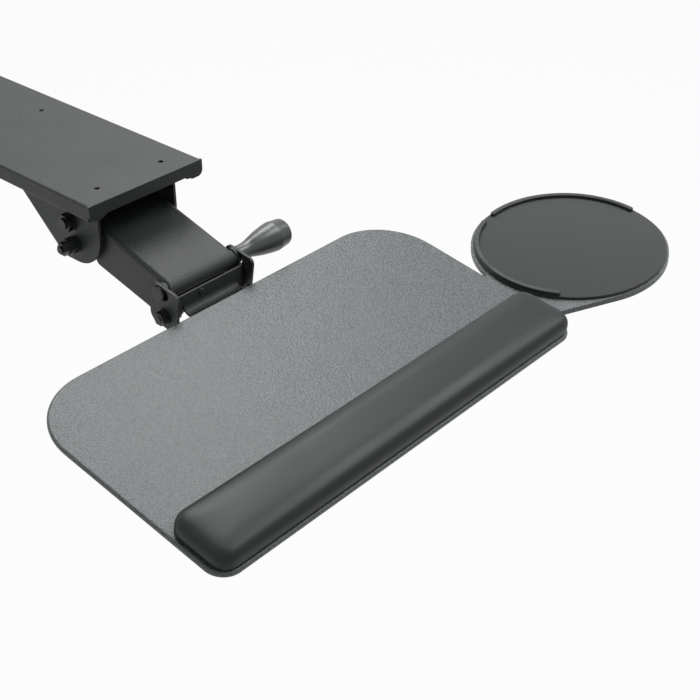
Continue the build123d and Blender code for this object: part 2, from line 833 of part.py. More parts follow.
with BuildPart() as head_bracket:
    with BuildSketch(head_end_plane):
        with Locations((0, -board_wall)):
            Rectangle(2 * head_half_width, head_flange_depth, align=(Align.CENTER, Align.MAX))
        fillet(vertices().group_by(Axis.Y)[-1], head_bend)
    extrude(amount=-head_web_length)
    with BuildSketch(head_end_plane):
        with Locations((0, -board_wall - head_sheet)):
            Rectangle(
                2 * (head_half_width - head_sheet),
                head_flange_depth,
                align=(Align.CENTER, Align.MAX),
            )
        fillet(vertices().group_by(Axis.Y)[-1], head_bend - head_sheet)
    extrude(amount=-head_web_length, mode=Mode.SUBTRACT)
    with BuildSketch(tray_side):
        with BuildLine():
            Polyline(
                (web_front, -ear_bottom),
                (web_front + head_front_cut, -ear_bottom),
                (web_front, head_front_cut - ear_bottom),
                close=True,
            )
        make_face()
    extrude(amount=head_half_width, both=True, mode=Mode.SUBTRACT)
    for ear_side in (-1, 1):
        with BuildSketch(tray_side.offset(ear_side * (head_half_width - head_sheet / 2))):
            with BuildLine():
                Polyline(
                    (ear_start, ear_top),
                    (ear_end, ear_top),
                    (ear_end, -ear_bottom),
                    (ear_start, -ear_bottom),
                    close=True,
                )
            make_face()
            fillet(vertices().group_by(Axis.Y)[-1], ear_corner)
            fillet(vertices().group_by(Axis.Y)[0].sort_by(Axis.X)[-1], ear_foot_corner)
            with Locations((tilt_pivot.X, tilt_pivot.Y)):
                Circle(bolt_radius + running_gap, mode=Mode.SUBTRACT)
            with BuildLine(mode=Mode.PRIVATE) as slot_path:
                CenterArc(
                    (tilt_pivot.X, tilt_pivot.Y),
                    pivot_spacing,
                    slot_start,
                    slot_sweep,
                )
            SlotArc(slot_path.edge(), 2 * slot_radius, mode=Mode.SUBTRACT)
        extrude(amount=head_sheet / 2, both=True)
    with BuildSketch(board_under):
        with Locations((0, -head_web_setback)):
            Rectangle(
                2 * (head_half_width - head_sheet),
                ear_end,
                align=(Align.CENTER, Align.MIN),
            )
        for row in range(board_screw_rows):
            with Locations((0, -board_screw_start - row * board_screw_pitch)):
                with GridLocations(2 * board_screw_x, 0, 2, 1):
                    Circle(screw_radius + running_gap)
    extrude(amount=-head_sheet, mode=Mode.SUBTRACT)
head_bracket.part.label = "head_bracket"
export_step(head_bracket.part, "parts/head_bracket.step")

# Clamp bolt: its domed head bears on the left ear, its end runs into the knob
knob_start = head_half_width + knob_washer_wall
with BuildPart() as clamp_bolt:
    with BuildSketch(left_of(front_upper, head_half_width)):
        Circle(cap_radius)
    extrude(amount=cap_height)
    fillet(clamp_bolt.edges().group_by(Axis.X)[0], cap_round)
    with BuildSketch(left_of(front_upper, head_half_width)):
        Circle(shaft_radius)
    extrude(amount=-head_half_width - knob_start - knob_thread_depth)
clamp_bolt.part.label = "clamp_bolt"
export_step(clamp_bolt.part, "parts/clamp_bolt.step")

with BuildPart() as knob_washer:
    with BuildSketch(right_of(front_upper, head_half_width)):
        Circle(knob_washer_radius)
        Circle(shaft_radius + running_gap, mode=Mode.SUBTRACT)
    extrude(amount=knob_washer_wall)
knob_washer.part.label = "knob_washer"
export_step(knob_washer.part, "parts/knob_washer.step")

# Clamp knob: turned profile, a slim neck that swells to a belly near its blunt end
knob_plane = Plane(origin=(knob_start, front_upper.Y, front_upper.Z), x_dir=(1, 0, 0), z_dir=(0, -1, 0))
with BuildPart() as clamp_knob:
    with BuildSketch(knob_plane):
        with BuildLine():
            Line((0, 0), (0, knob_neck_radius))
            Line((0, knob_neck_radius), (knob_neck_length, knob_neck_radius))
            flank = TangentArc(
                (knob_neck_length, knob_neck_radius),
                (knob_waist, knob_waist_radius),
                tangent=(1, 0),
            )
            ThreePointArc(flank @ 1, (knob_swell, knob_swell_radius), (knob_belly, knob_belly_radius))
            Line((knob_belly, knob_belly_radius), (knob_length, knob_end_radius))
            Line((knob_length, knob_end_radius), (knob_length, 0))
            Line((knob_length, 0), (0, 0))
        make_face()
        fillet(vertices().group_by(Axis.X)[-1].sort_by(Axis.Y)[-1], knob_round)
    revolve(axis=Axis(knob_plane.origin, (1, 0, 0)))
    with BuildSketch(right_of(front_upper, knob_start)):
        Circle(shaft_radius + running_gap)
    extrude(amount=knob_thread_depth + running_gap, mode=Mode.SUBTRACT)
clamp_knob.part.label = "clamp_knob"
export_step(clamp_knob.part, "parts/clamp_knob.step")

# Keyboard board: large corners behind, small ones in front, all edges rounded
with BuildPart() as keyboard_board:
    with BuildSketch(board_under):
        Rectangle(board_width, board_depth, align=(Align.CENTER, Align.MAX))
        fillet(vertices().group_by(Axis.Y)[-1], board_back_corner)
        fillet(vertices().group_by(Axis.Y)[0], board_front_corner)
    extrude(amount=board_wall)
    board_faces = keyboard_board.faces().sort_by(SortBy.AREA)[-2:]
    fillet(board_faces.edges(), board_round)
    with BuildSketch(board_under):
        for row in range(board_screw_rows):
            with Locations((0, -board_screw_start - row * board_screw_pitch)):
                with GridLocations(2 * board_screw_x, 0, 2, 1):
                    Circle(screw_radius)
    extrude(amount=board_screw_depth, mode=Mode.SUBTRACT)
    with BuildSketch(board_under):
        with Locations((0, rest_middle)):
            with GridLocations(2 * rest_screw_x, 0, 2, 1):
                Circle(screw_radius)
    extrude(amount=board_wall, mode=Mode.SUBTRACT)
    with BuildSketch(mount_plane):
        with GridLocations(2 * mount_screw_along, 2 * mount_screw_across, 2, 2):
            Circle(screw_radius)
    extrude(amount=board_screw_depth, mode=Mode.SUBTRACT)
keyboard_board.part.label = "keyboard_board"
export_step(keyboard_board.part, "parts/keyboard_board.step")

# Head screws: pan heads under the bracket's web, shanks in the board
with BuildPart() as head_screws:
    for depth, radius in (
        (-screw_head_height, screw_head_radius),
        (head_sheet + board_screw_depth, screw_radius),
    ):
        with BuildSketch(board_under.offset(-head_sheet)):
            for row in range(board_screw_rows):
                with Locations((0, -board_screw_start - row * board_screw_pitch)):
                    with GridLocations(2 * board_screw_x, 0, 2, 1):
                        Circle(radius)
        extrude(amount=depth)
head_screws.part.label = "head_screws"
export_step(head_screws.part, "parts/head_screws.step")

# Palm rest: an inset base plate that carries a padded cushion with a crowned top
with BuildPart() as palm_rest_base:
    with BuildSketch(tray):
        with Locations((0, rest_middle)):
            RectangleRounded(
                rest_width - 2 * rest_base_inset,
                rest_depth - 2 * rest_base_inset,
                rest_corner - rest_base_inset,
            )
            with GridLocations(2 * rest_screw_x, 0, 2, 1):
                Circle(screw_radius, mode=Mode.SUBTRACT)
    extrude(amount=rest_base_wall)
palm_rest_base.part.label = "palm_rest_base"
export_step(palm_rest_base.part, "parts/palm_rest_base.step")

# Screws of the palm rest: heads under the board, shanks up through its base plate
with BuildPart() as palm_rest_screws:
    for depth, radius in (
        (-screw_head_height, screw_head_radius),
        (board_wall + rest_base_wall, screw_radius),
    ):
        with BuildSketch(board_under):
            with Locations((0, rest_middle)):
                with GridLocations(2 * rest_screw_x, 0, 2, 1):
                    Circle(radius)
        extrude(amount=depth)
palm_rest_screws.part.label = "palm_rest_screws"
export_step(palm_rest_screws.part, "parts/palm_rest_screws.step")

rest_shoulder = rest_height - rest_crown
with BuildPart() as palm_rest_pad:
    with BuildSketch(tray_side.offset(-rest_width / 2)):
        with BuildLine():
            Polyline(
                (rest_front, rest_base_wall + rest_shoulder),
                (rest_front, rest_base_wall),
                (rest_front + rest_depth, rest_base_wall),
                (rest_front + rest_depth, rest_base_wall + rest_shoulder),
            )
            ThreePointArc(
                (rest_front + rest_depth, rest_base_wall + rest_shoulder),
                (rest_middle, rest_base_wall + rest_height),
                (rest_front, rest_base_wall + rest_shoulder),
            )
        make_face()
    extrude(amount=rest_width)
    with BuildSketch(tray.offset(rest_base_wall)):
        with Locations((0, rest_middle)):
            RectangleRounded(rest_width, rest_depth, rest_corner)
    extrude(amount=rest_height, mode=Mode.INTERSECT)
    rest_top = palm_rest_pad.faces().filter_by(GeomType.CYLINDER).sort_by(SortBy.AREA)[-1]
    fillet(rest_top.edges(), rest_round)
    rest_sole = palm_rest_pad.faces().filter_by(GeomType.PLANE).sort_by(SortBy.AREA)[-1]
    fillet(rest_sole.edges(), rest_tuck)
palm_rest_pad.part.label = "palm_rest_pad"
export_step(palm_rest_pad.part, "parts/palm_rest_pad.step")

# Platform: a round plate with a tongue that reaches under the board to its pivot.
# The tongue's front edge is the common tangent of the disc and the tongue's round end.
disc_gap = math.hypot(platform_reach, platform_offset)
disc_turn = math.atan2(platform_offset, platform_reach)
tangent_turn = disc_turn - math.acos((platform_tongue_radius - platform_radius) / disc_gap)


def on_tangent(centre, radius):
    """Point where the front tangent touches a circle of the platform's outline."""
    return (centre[0] + radius * math.cos(tangent_turn), centre[1] + radius * math.sin(tangent_turn))


disc_centre = (platform_reach, platform_offset)
lip_plane = platform.offset(pad_wall)
with BuildPart() as mouse_platform:
    with BuildSketch(platform.offset(-platform_wall)):
        with BuildLine():
            Polyline(
                (0, 0),
                on_tangent((0, 0), platform_tongue_radius),
                on_tangent(disc_centre, platform_radius),
                disc_centre,
                (platform_reach, platform_tongue_radius),
                (0, platform_tongue_radius),
                close=True,
            )
        make_face()
        Circle(platform_tongue_radius)
        with Locations(disc_centre):
            Circle(platform_radius)
        Circle(post_radius + running_gap, mode=Mode.SUBTRACT)
    extrude(amount=platform_wall)
mouse_platform.part.label = "mouse_platform"
export_step(mouse_platform.part, "parts/mouse_platform.step")

with BuildPart() as mouse_pad:
    with BuildSketch(platform):
        with Locations(disc_centre):
            Circle(pad_radius)
    extrude(amount=pad_wall)
    fillet(mouse_pad.edges().sort_by(Axis((0, 0, 0), platform_normal))[-1], pad_round)
mouse_pad.part.label = "mouse_pad"
export_step(mouse_pad.part, "parts/mouse_pad.step")

# Lips: two raised rims on the pad that keep the mouse from sliding off
lips = {
    "mouse_lip_back": (lip_back_from_angle, lip_back_to_angle),
    "mouse_lip_front": (lip_front_from_angle, lip_front_to_angle),
}
lip_path_radius = pad_radius - lip_width / 2 - pad_round
for lip_name, (from_angle, to_angle) in lips.items():
    with BuildPart() as mouse_lip:
        with BuildLine(mode=Mode.PRIVATE) as lip_path:
            CenterArc(disc_centre, lip_path_radius, from_angle, to_angle - from_angle)
        with BuildSketch(lip_plane):
            SlotArc(lip_path.edge(), lip_width)
        extrude(amount=lip_height)
        fillet(mouse_lip.faces().sort_by(Axis((0, 0, 0), platform_normal))[-1].edges(), lip_round)
    mouse_lip.part.label = lip_name
    export_step(mouse_lip.part, f"parts/{lip_name}.step")

# Mount plate: screwed under the board, with two ears that hold the hinge pin
with BuildPart() as mount_bracket:
    with BuildSketch(mount_plane):
        RectangleRounded(mount_plate_length, mount_plate_width, mount_plate_corner)
    extrude(amount=-mount_plate_wall)
    for ear_place in (-1, 1):
        ear_middle = ear_place * (hinge_knuckle_length / 2 + joint_gap + hinge_ear_wall / 2)
        with BuildSketch(hinge_plane.offset(ear_middle)):
            Circle(hinge_radius)
            Rectangle(hinge_drop - mount_plate_wall, 2 * hinge_radius, align=(Align.MIN, Align.CENTER))
        extrude(amount=hinge_ear_wall / 2, both=True)
    with BuildSketch(hinge_plane):
        Circle(hinge_pin_radius + running_gap)
    extrude(amount=mount_plate_length / 2, both=True, mode=Mode.SUBTRACT)
    with BuildSketch(mount_plane):
        with GridLocations(2 * mount_screw_along, 2 * mount_screw_across, 2, 2):
            Circle(screw_radius + running_gap)
    extrude(amount=-mount_plate_wall, mode=Mode.SUBTRACT)
mount_bracket.part.label = "mount_bracket"
export_step(mount_bracket.part, "parts/mount_bracket.step")

with BuildPart() as mount_screws:
    for depth, radius in (
        (-screw_head_height, screw_head_radius),
        (mount_plate_wall + board_screw_depth, screw_radius),
    ):
        with BuildSketch(mount_plane.offset(-mount_plate_wall)):
            with GridLocations(2 * mount_screw_along, 2 * mount_screw_across, 2, 2):
                Circle(radius)
        extrude(amount=depth)
mount_screws.part.label = "mount_screws"
export_step(mount_screws.part, "parts/mount_screws.step")

hinge_pin_reach = hinge_knuckle_length / 2 + joint_gap + hinge_ear_wall
with BuildPart() as hinge_pin:
    with BuildSketch(hinge_plane.offset(-hinge_pin_reach)):
        Circle(hinge_pin_radius)
    extrude(amount=2 * hinge_pin_reach)
hinge_pin.part.label = "hinge_pin"
export_step(hinge_pin.part, "parts/hinge_pin.step")

# Swivel plate: a disc with a knuckle on the hinge pin
knuckle_place = swivel_plane.to_local_coords(hinge_origin)
with BuildPart() as swivel_plate:
    with BuildSketch(swivel_plane.offset(friction_washer_wall)):
        Circle(swivel_plate_radius)
    extrude(amount=swivel_plate_wall)
    with BuildSketch(swivel_plane.offset(friction_washer_wall)):
        with Locations((0, knuckle_place.Y)):
            Rectangle(hinge_knuckle_length, 2 * hinge_radius)
    extrude(amount=knuckle_place.Z - friction_washer_wall)
    with BuildSketch(hinge_plane):
        Circle(hinge_radius)
    extrude(amount=hinge_knuckle_length / 2, both=True)
    with BuildSketch(hinge_plane):
        Circle(hinge_pin_radius + running_gap)
    extrude(amount=hinge_knuckle_length / 2, both=True, mode=Mode.SUBTRACT)
    with BuildSketch(swivel_plane):
        Circle(post_radius + running_gap)
    extrude(amount=friction_washer_wall + post_depth, mode=Mode.SUBTRACT)
swivel_plate.part.label = "swivel_plate"
export_step(swivel_plate.part, "parts/swivel_plate.step")

with BuildPart() as friction_washer:
    with BuildSketch(swivel_plane):
        Circle(friction_washer_radius)
        Circle(post_radius + running_gap, mode=Mode.SUBTRACT)
    extrude(amount=friction_washer_wall)
friction_washer.part.label = "friction_washer"
export_step(friction_washer.part, "parts/friction_washer.step")

# Pivot bolt: its head carries the platform from below, its shank sits in the swivel plate
post_reach = platform_wall + slide_gap
with BuildPart() as pivot_bolt:
    with BuildSketch(swivel_plane.offset(-post_reach)):
        Circle(post_radius)
    extrude(amount=post_reach + friction_washer_wall + post_depth)
    with BuildSketch(swivel_plane.offset(-post_reach - post_head_height)):
        Circle(post_head_radius)
    extrude(amount=post_head_height)
pivot_bolt.part.label = "pivot_bolt"
export_step(pivot_bolt.part, "parts/pivot_bolt.step")
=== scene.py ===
"""Looks of an under-desk keyboard tray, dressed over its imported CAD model.

The track, arm, brackets, boards and fasteners keep their CAD meshes and get procedural
finishes. The palm rest's cushion and the cloth-faced mouse pad are modelled here.
Metres: +X is the user's right, +Y points away from the user, +Z is up.
"""

import json
import logging
import math
from abc import ABC, abstractmethod
from collections.abc import Callable, Mapping
from dataclasses import dataclass, field
from enum import Enum
from typing import Any, ClassVar

import bpy
import numpy as np
from mathutils import Matrix, Vector

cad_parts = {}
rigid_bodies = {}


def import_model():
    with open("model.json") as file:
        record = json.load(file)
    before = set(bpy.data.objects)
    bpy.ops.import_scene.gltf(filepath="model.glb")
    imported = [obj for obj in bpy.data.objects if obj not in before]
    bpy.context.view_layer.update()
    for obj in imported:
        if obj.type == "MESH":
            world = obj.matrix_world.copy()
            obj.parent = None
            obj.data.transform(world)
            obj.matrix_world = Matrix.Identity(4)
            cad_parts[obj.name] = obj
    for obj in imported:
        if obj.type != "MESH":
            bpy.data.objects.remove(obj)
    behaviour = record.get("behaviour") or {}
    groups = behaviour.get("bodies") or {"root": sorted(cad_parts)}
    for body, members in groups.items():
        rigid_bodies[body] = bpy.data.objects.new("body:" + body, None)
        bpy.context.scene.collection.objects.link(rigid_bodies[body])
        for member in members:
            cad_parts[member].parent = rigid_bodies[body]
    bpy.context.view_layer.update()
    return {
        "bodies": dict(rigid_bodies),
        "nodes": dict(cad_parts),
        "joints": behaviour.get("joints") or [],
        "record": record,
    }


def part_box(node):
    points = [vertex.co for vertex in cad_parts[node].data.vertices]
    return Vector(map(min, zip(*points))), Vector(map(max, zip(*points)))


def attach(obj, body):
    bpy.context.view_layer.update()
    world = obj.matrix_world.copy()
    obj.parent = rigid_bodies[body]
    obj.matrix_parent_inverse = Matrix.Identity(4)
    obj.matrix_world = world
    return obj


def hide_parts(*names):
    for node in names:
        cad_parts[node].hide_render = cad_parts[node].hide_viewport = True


log = logging.getLogger("keyboard_tray")

MM = 0.001
IMAGE_WIDTH = 700

# Range that holds most of a noise pattern
PATTERN_LOW = 0.3
PATTERN_HIGH = 0.7

# Rise of a face's normal above which the face counts as level
LEVEL = 0.999

# Least movement that is divided by, in metres
STILL = 1e-9

Colour = tuple[float, float, float]
WHITE: Colour = (1.0, 1.0, 1.0)


class Slot(Enum):
    """Material slots of the part's record."""

    POWDER_COAT = "powder_coat"
    BLACK_STEEL = "black_steel"
    ZINC_STEEL = "zinc_steel"
    GLIDE_PLASTIC = "glide_plastic"
    RUBBER = "rubber"
    KNOB_PLASTIC = "knob_plastic"
    BOARD_LAMINATE = "board_laminate"
    REST_PLASTIC = "rest_plastic"
    REST_SKIN = "rest_skin"
    PLATFORM_LAMINATE = "platform_laminate"
    PAD_FABRIC = "pad_fabric"
    LIP_PLASTIC = "lip_plastic"


# Shader values


class Value:
    """One number of a shader, whose operators add Math nodes."""

    def __init__(self, nodes: "Nodes", socket: bpy.types.NodeSocket) -> None:
        """Wraps a socket.

        Args:
            nodes: Nodes that the socket belongs to.
            socket: Output socket that gives the number.
        """
        self.nodes = nodes
        self.socket = socket

    def _math(self, operation: str, first: Any, second: Any) -> "Value":
        """Adds one Math node.

        Args:
            operation: Blender's name of the operation.
            first: Number or Value.
            second: Number or Value.

        Returns:
            The node's result.
        """
        made = self.nodes.node("ShaderNodeMath", {"operation": operation}, {0: first, 1: second})
        return Value(self.nodes, made.outputs[0])

    def __add__(self, other: Any) -> "Value":
        """Sum of this value and another."""
        return self._math("ADD", self, other)

    def __radd__(self, other: Any) -> "Value":
        """Sum of another value and this one."""
        return self._math("ADD", other, self)

    def __sub__(self, other: Any) -> "Value":
        """This value less another."""
        return self._math("SUBTRACT", self, other)

    def __rsub__(self, other: Any) -> "Value":
        """Another value less this one."""
        return self._math("SUBTRACT", other, self)

    def __mul__(self, other: Any) -> "Value":
        """Product of this value and another."""
        return self._math("MULTIPLY", self, other)

    def __rmul__(self, other: Any) -> "Value":
        """Product of another value and this one."""
        return self._math("MULTIPLY", other, self)


class Nodes:
    """Node tree of a material or of the world."""

    def __init__(self, owner: bpy.types.Material | bpy.types.World) -> None:
        """Starts an empty tree.

        Args:
            owner: The material or world that the tree belongs to.
        """
        owner.use_nodes = True
        self.tree = owner.node_tree
        self.tree.nodes.clear()

    def node(
        self,
        kind: str,
        settings: Mapping[str, Any] | None = None,
        sockets: Mapping[str | int, Any] | None = None,
    ) -> bpy.types.Node:
        """Adds a node, then sets its options and after them its sockets.

        Args:
            kind: Blender's type of the node.
            settings: Options by name. The stops of a ramp are pairs of place and colour.
            sockets: A number, colour, Value or output socket for each input.

        Returns:
            The node.
        """
        made = self.tree.nodes.new(kind)
        for name, value in (settings or {}).items():
            if name == "stops":
                ramp = made.color_ramp
                while len(ramp.elements) < len(value):
                    ramp.elements.new(1.0)
                for element, (place, colour) in zip(ramp.elements, value):
                    element.position = place
                    element.color = (*colour, 1.0)
            else:
                setattr(made, name, value)
        for name, value in (sockets or {}).items():
            if isinstance(value, Value):
                value = value.socket
            if isinstance(value, bpy.types.NodeSocket):
                self.tree.links.new(value, made.inputs[name])
            elif isinstance(value, tuple) and made.inputs[name].type == "RGBA":
                made.inputs[name].default_value = (*value, 1.0)
            else:
                made.inputs[name].default_value = value
        return made

    def seen_straight(self) -> Value:
        """1 or more for the rays that show the background, and 0 for those that light the tray."""
        path = self.node("ShaderNodeLightPath").outputs
        camera, through, mirrored = (
            Value(self, path[f"Is {kind} Ray"]) for kind in ("Camera", "Transmission", "Glossy")
        )
        return camera + through + mirrored


class Shader(Nodes):
    """Nodes of one material."""

    def __init__(self, name: str) -> None:
        """Starts an empty material.

        Args:
            name: The material's name.
        """
        self.material = bpy.data.materials.new(name)
        super().__init__(self.material)

    def place(self) -> bpy.types.NodeSocket:
        """Place on the object, in metres."""
        return self.node("ShaderNodeTexCoord").outputs["Object"]

    def noise(self, scale: float, detail: float = 2.0, roughness: float = 0.5) -> Value:
        """Adds a noise pattern.

        Args:
            scale: Patches per metre.
            detail: Number of finer layers.
            roughness: Weight of the finer layers.

        Returns:
            The pattern, about 0.5 on average.
        """
        sockets = {
            "Vector": self.place(),
            "Scale": scale,
            "Detail": detail,
            "Roughness": roughness,
        }
        return Value(self, self.node("ShaderNodeTexNoise", None, sockets).outputs["Fac"])

    def cells(self, scale: float, smoothness: float = 0.6) -> Value:
        """Adds rounded cells, like the grain of pressed laminate.

        Args:
            scale: Cells per metre.
            smoothness: How soft the valleys between the cells are.

        Returns:
            Distance to the middle of the cell, in cells.
        """
        made = self.node(
            "ShaderNodeTexVoronoi",
            {"feature": "SMOOTH_F1"},
            {"Vector": self.place(), "Scale": scale, "Smoothness": smoothness},
        )
        return Value(self, made.outputs["Distance"])

    def ramp(self, value: Value, stops: list[tuple[float, Colour]]) -> bpy.types.NodeSocket:
        """Turns a value into a colour.

        Args:
            value: Number to look up.
            stops: Pairs of place and colour.

        Returns:
            The colour's socket.
        """
        return self.node("ShaderNodeValToRGB", {"stops": stops}, {"Fac": value}).outputs["Color"]

    def spread(self, value: Value, low: float, high: float) -> Value:
        """Stretches the middle of a pattern over a range and keeps it inside.

        Args:
            value: Pattern about 0.5 on average.
            low: Result where the pattern is at its low end or less.
            high: Result where the pattern is at its high end or more.

        Returns:
            The stretched pattern.
        """
        sockets = {0: value, 1: PATTERN_LOW, 2: PATTERN_HIGH, 3: low, 4: high}
        return Value(self, self.node("ShaderNodeMapRange", {"clamp": True}, sockets).outputs[0])

    def bump(self, height: Value, depth: float, strength: float = 1.0) -> bpy.types.NodeSocket:
        """Turns a height into a normal.

        Args:
            height: Height from 0 to 1.
            depth: Real height of 1, in metres.
            strength: Share of the effect.

        Returns:
            The normal's socket.
        """
        sockets = {"Height": height, "Distance": depth, "Strength": strength}
        return self.node("ShaderNodeBump", None, sockets).outputs["Normal"]

    def surface(self, sockets: Mapping[str | int, Any]) -> None:
        """Adds the surface and connects it.

        Args:
            sockets: Inputs of the Principled shader.
        """
        skin = self.node("ShaderNodeBsdfPrincipled", None, sockets)
        self.node("ShaderNodeOutputMaterial", None, {"Surface": skin.outputs[0]})


# Finishes


@dataclass(frozen=True)
class Mottle:
    """How a pattern makes a colour darker and lighter.

    Attributes:
        low: Place on the pattern of the darkest tone.
        dark: Share of the colour there.
        high: Place on the pattern of the lightest tone.
        light: Share of the colour there.
    """

    low: float
    dark: float
    high: float
    light: float

    def stops(self, colour: Colour) -> list[tuple[float, Colour]]:
        """The two tones of a colour, as the stops of a ramp."""
        pairs = ((self.low, self.dark), (self.high, self.light))
        return [(place, tuple(channel * share for channel in colour)) for place, share in pairs]


@dataclass(frozen=True)
class Finish(ABC):
    """A surface finish.

    Attributes:
        colour: Linear base colour.
        roughness: Middle roughness.
        mottle: How uneven its colour is.
        smoother: How far its roughness falls in places.
        rougher: How far its roughness rises in places.
        relief: Share of its bump that shows.
    """

    colour: Colour
    roughness: float
    mottle: ClassVar[Mottle]
    smoother: ClassVar[float] = 0.0
    rougher: ClassVar[float] = 0.0
    relief: ClassVar[float]

    @abstractmethod
    def paint(self, shader: Shader) -> None:
        """Adds the finish's nodes to a shader."""

    def tones(self, shader: Shader, pattern: Value) -> bpy.types.NodeSocket:
        """The colour, mottled by a pattern."""
        return shader.ramp(pattern, self.mottle.stops(self.colour))

    def polish(self, shader: Shader, pattern: Value) -> Value:
        """The roughness, made uneven by a pattern."""
        return shader.spread(pattern, self.roughness - self.smoother, self.roughness + self.rougher)


@dataclass(frozen=True)
class PowderCoat(Finish):
    """Black powder coat with a fine orange-peel grain.

    Attributes:
        grain: Grains per metre.
        depth: Height of the grain, in metres.
        cloud_scale: Uneven patches per metre.
        cloud_share: Share of the patches in the colour's pattern.
        gloss: Level of its shine.
    """

    grain: float = 700.0
    depth: float = 0.5 * MM
    cloud_scale: float = 14.0
    cloud_share: float = 0.35
    gloss: float = 0.35
    mottle = Mottle(0.32, 0.55, 0.7, 1.6)
    smoother = 0.05
    rougher = 0.07
    relief = 0.8

    def paint(self, shader: Shader) -> None:
        """Grain over a faintly uneven coat."""
        grain = shader.noise(self.grain, detail=2.5, roughness=0.6)
        cloud = shader.noise(self.cloud_scale, detail=3.0)
        mottled = grain * (1 - self.cloud_share) + cloud * self.cloud_share
        shader.surface(
            {
                "Base Color": self.tones(shader, mottled),
                "Roughness": self.polish(shader, cloud),
                "Normal": shader.bump(grain, self.depth, self.relief),
                "Specular IOR Level": self.gloss,
            }
        )


@dataclass(frozen=True)
class DarkSteel(Finish):
    """Oiled black steel of bolts and shafts, with a trace of turning marks.

    Attributes:
        marks: Turning marks per metre.
        depth: Depth of a mark, in metres.
        patches: Rubbed patches per metre.
        bare: How much of the metal shows through the oil.
    """

    marks: float = 1500.0
    depth: float = 0.05 * MM
    patches: float = 90.0
    bare: float = 0.35
    mottle = Mottle(0.35, 0.7, 0.7, 1.8)
    smoother = 0.08
    rougher = 0.1
    relief = 0.35

    def paint(self, shader: Shader) -> None:
        """Fine marks and rubbed patches."""
        marks = shader.noise(self.marks, detail=1.0)
        rubbed = shader.noise(self.patches, detail=3.0, roughness=0.6)
        shader.surface(
            {
                "Base Color": self.tones(shader, rubbed),
                "Metallic": self.bare,
                "Roughness": self.polish(shader, rubbed),
                "Normal": shader.bump(marks, self.depth, self.relief),
            }
        )


@dataclass(frozen=True)
class ZincSteel(Finish):
    """Zinc-plated steel with a faint bloom.

    Attributes:
        bloom: Clouds of bloom per metre.
        marks: Rolling marks per metre.
        depth: Depth of a mark, in metres.
    """

    bloom: float = 60.0
    marks: float = 1800.0
    depth: float = 0.04 * MM
    mottle = Mottle(0.3, 0.8, 0.7, 1.1)
    smoother = 0.06
    rougher = 0.08
    relief = 0.3

    def paint(self, shader: Shader) -> None:
        """Cloudy bloom and fine rolling marks."""
        bloom = shader.noise(self.bloom, detail=4.0, roughness=0.6)
        marks = shader.noise(self.marks, detail=1.0)
        shader.surface(
            {
                "Base Color": self.tones(shader, bloom),
                "Metallic": 1.0,
                "Roughness": self.polish(shader, bloom),
                "Normal": shader.bump(marks, self.depth, self.relief),
            }
        )


@dataclass(frozen=True)
class Moulded(Finish):
    """Moulded plastic or rubber with a spark-eroded grain.

    Attributes:
        grain: Grains per metre.
        depth: Height of the grain, in metres.
        patches: Handled patches per metre.
    """

    grain: float = 1400.0
    depth: float = 0.06 * MM
    patches: float = 45.0
    mottle = Mottle(0.3, 0.88, 0.7, 1.14)
    smoother = 0.08
    rougher = 0.08
    relief = 0.4

    def paint(self, shader: Shader) -> None:
        """Fine grain, with patches polished by handling."""
        grain = shader.noise(self.grain, detail=2.0)
        touched = shader.noise(self.patches, detail=3.0, roughness=0.55)
        shader.surface(
            {
                "Base Color": self.tones(shader, touched),
                "Roughness": self.polish(shader, touched),
                "Normal": shader.bump(grain, self.depth, self.relief),
            }
        )


@dataclass(frozen=True)
class PressedBoard(Finish):
    """Dark grey phenolic board, pressed with a pebbled grain.

    Attributes:
        pebble: Pebbles per metre.
        depth: Height of a pebble, in metres.
        speckle: Specks per metre on the pebbles.
        speckle_share: Share of the specks in the height.
        gloss: Level of its shine.
    """

    pebble: float = 540.0
    depth: float = 0.6 * MM
    speckle: float = 1500.0
    speckle_share: float = 0.4
    gloss: float = 0.6
    # Mottle tones: painted shade in the valleys and painted sparkle on the pebble tops, over the
    # board's own speckle
    mottle = Mottle(0.42, 0.45, 0.8, 1.6)
    smoother = 0.06
    rougher = 0.08
    relief = 0.7

    def paint(self, shader: Shader) -> None:
        """Pebbles and specks whose colour follows their height: the board's own speckle, with
        painted shade in the valleys between the pebbles and painted sparkle on their tops.
        """
        pebbles = shader.cells(self.pebble)
        speckle = shader.noise(self.speckle, detail=2.0, roughness=0.6)
        height = (1 - pebbles) * (1 - self.speckle_share) + speckle * self.speckle_share
        shader.surface(
            {
                # Colour follows the bump's height: painted shade where it is low, painted sparkle
                # where it is high
                "Base Color": self.tones(shader, height),
                "Roughness": self.polish(shader, speckle),
                "Normal": shader.bump(height, self.depth, self.relief),
                "Specular IOR Level": self.gloss,
            }
        )


@dataclass(frozen=True)
class SoftSkin(Finish):
    """Smooth imitation leather over foam, satin, with a very fine pore.

    Attributes:
        pore: Pores per metre.
        depth: Depth of a pore, in metres.
        patches: Handled patches per metre.
        gloss: Level of its shine.
    """

    pore: float = 1500.0
    depth: float = 0.07 * MM
    patches: float = 9.0
    gloss: float = 0.3
    mottle = Mottle(0.3, 0.9, 0.7, 1.12)
    smoother = 0.03
    rougher = 0.04
    relief = 0.35

    def paint(self, shader: Shader) -> None:
        """Fine pores, and a surface that handling has made unevenly satin."""
        pores = shader.cells(self.pore, smoothness=0.3)
        handled = shader.noise(self.patches, detail=3.0)
        shader.surface(
            {
                "Base Color": self.tones(shader, handled),
                "Roughness": self.polish(shader, handled),
                "Normal": shader.bump(pores, self.depth, self.relief),
                "Specular IOR Level": self.gloss,
            }
        )


